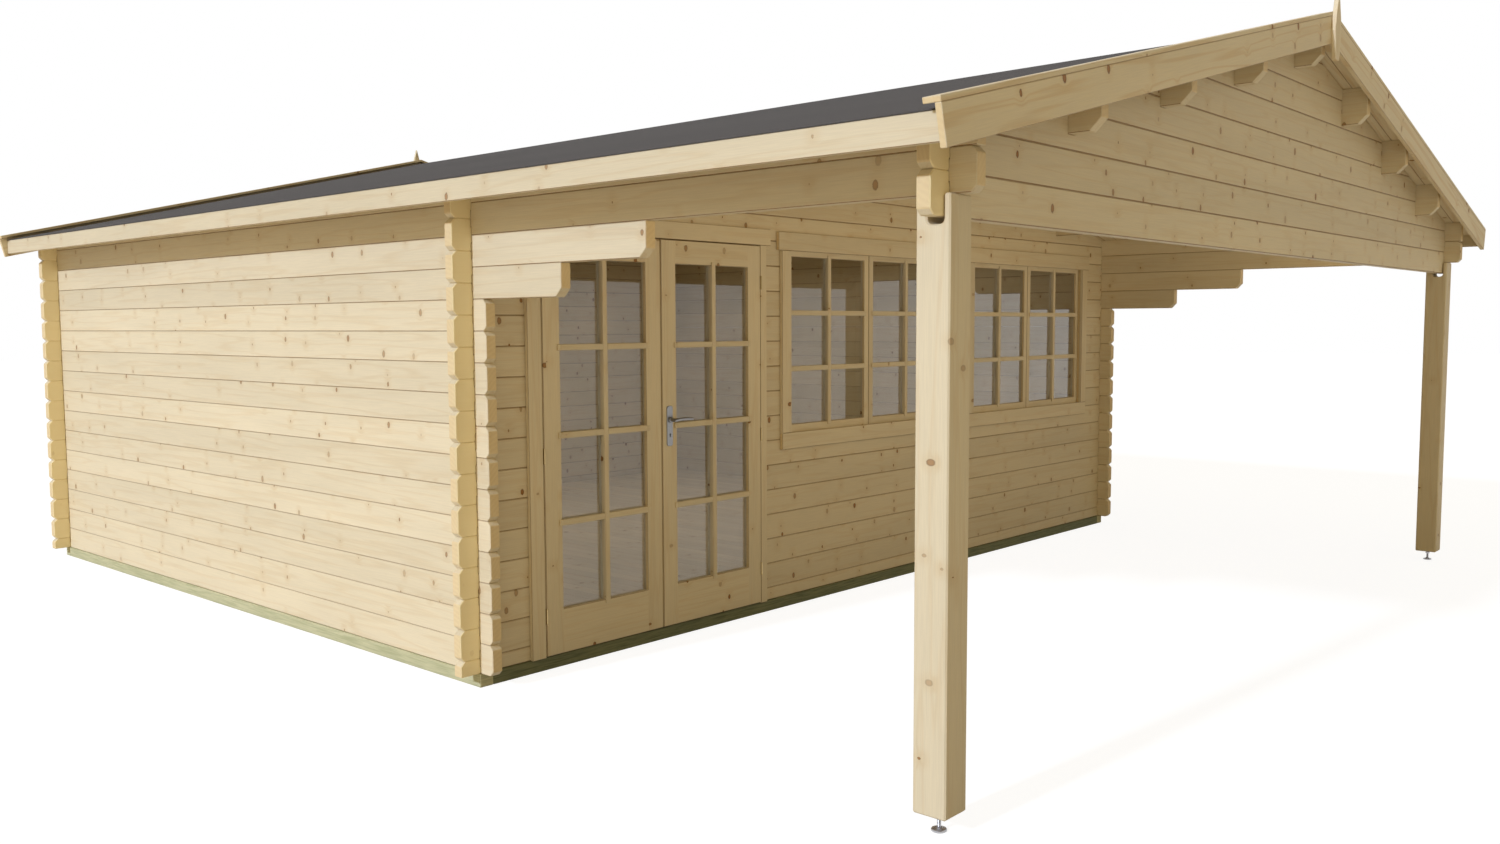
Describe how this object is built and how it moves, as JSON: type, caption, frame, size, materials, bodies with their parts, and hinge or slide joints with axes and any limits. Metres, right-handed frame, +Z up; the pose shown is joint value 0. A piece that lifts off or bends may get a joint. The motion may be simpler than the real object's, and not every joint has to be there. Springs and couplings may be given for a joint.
{
  "type": "log cabin",
  "caption": "Log cabin with notched corners, a felted gable roof that runs forward as a canopy on posts, a glazed double door and two wide barred windows",
  "frame": {"origin": "centre of the footprint of the whole box, at ground level under the foundation and the post feet", "axes": "+Z up, the front with the door and the canopy looks along -Y, +X to the right seen from the front"},
  "size_m": [6.4978, 7.4582, 3.0739],
  "materials": {
    "log_pine": "planed untreated pine",
    "trim_pine": "planed untreated pine",
    "green_timber": "pressure-treated timber",
    "roof_felt": "matt bitumen felt",
    "glass": "clear",
    "steel": "zinc plated"
  },
  "bodies": {
    "root": {"left_wall": "log_pine", "right_wall": "log_pine", "back_wall": "log_pine", "front_wall_left": "log_pine", "front_wall_right": "log_pine", "front_wall_top": "log_pine", "front_gable": "log_pine", "back_gable": "log_pine", "canopy_gable": "log_pine", "purlins": "log_pine", "post_left": "log_pine", "post_right": "log_pine", "floor_deck": "log_pine", "roof_boards_left": "trim_pine", "roof_boards_right": "trim_pine", "fascia_left": "trim_pine", "fascia_right": "trim_pine", "bargeboard_front_left": "trim_pine", "bargeboard_front_right": "trim_pine", "bargeboard_back_left": "trim_pine", "bargeboard_back_right": "trim_pine", "finials": "trim_pine", "door_frame": "trim_pine", "door_trim": "trim_pine", "window_frame": "trim_pine", "window_trim": "trim_pine", "window_sashes": "trim_pine", "foundation_left": "green_timber", "foundation_right": "green_timber", "foundation_front": "green_timber", "foundation_back": "green_timber", "floor_joists": "green_timber", "roof_felt_left": "roof_felt", "roof_felt_right": "roof_felt", "window_glass": "glass", "post_feet": "steel", "door_hinge_pins": "steel"},
    "left_leaf": {"door_leaf_left": "trim_pine", "door_glass_left": "glass", "door_knuckles_left": "steel"},
    "right_leaf": {"door_leaf_right": "trim_pine", "door_glass_right": "glass", "door_knuckles_right": "steel", "door_handle": "steel"}
  },
  "joints": [
    {"name": "left_door_hinge", "type": "hinge", "parent": "root", "child": "left_leaf", "pos_m": [-2.5995, -1.2031, 0.2], "axis": [0, 0, -1], "range_deg": [0, 100]},
    {"name": "right_door_hinge", "type": "hinge", "parent": "root", "child": "right_leaf", "pos_m": [-1.1265, -1.2031, 0.2], "axis": [0, 0, 1], "range_deg": [0, 100]}
  ]
}
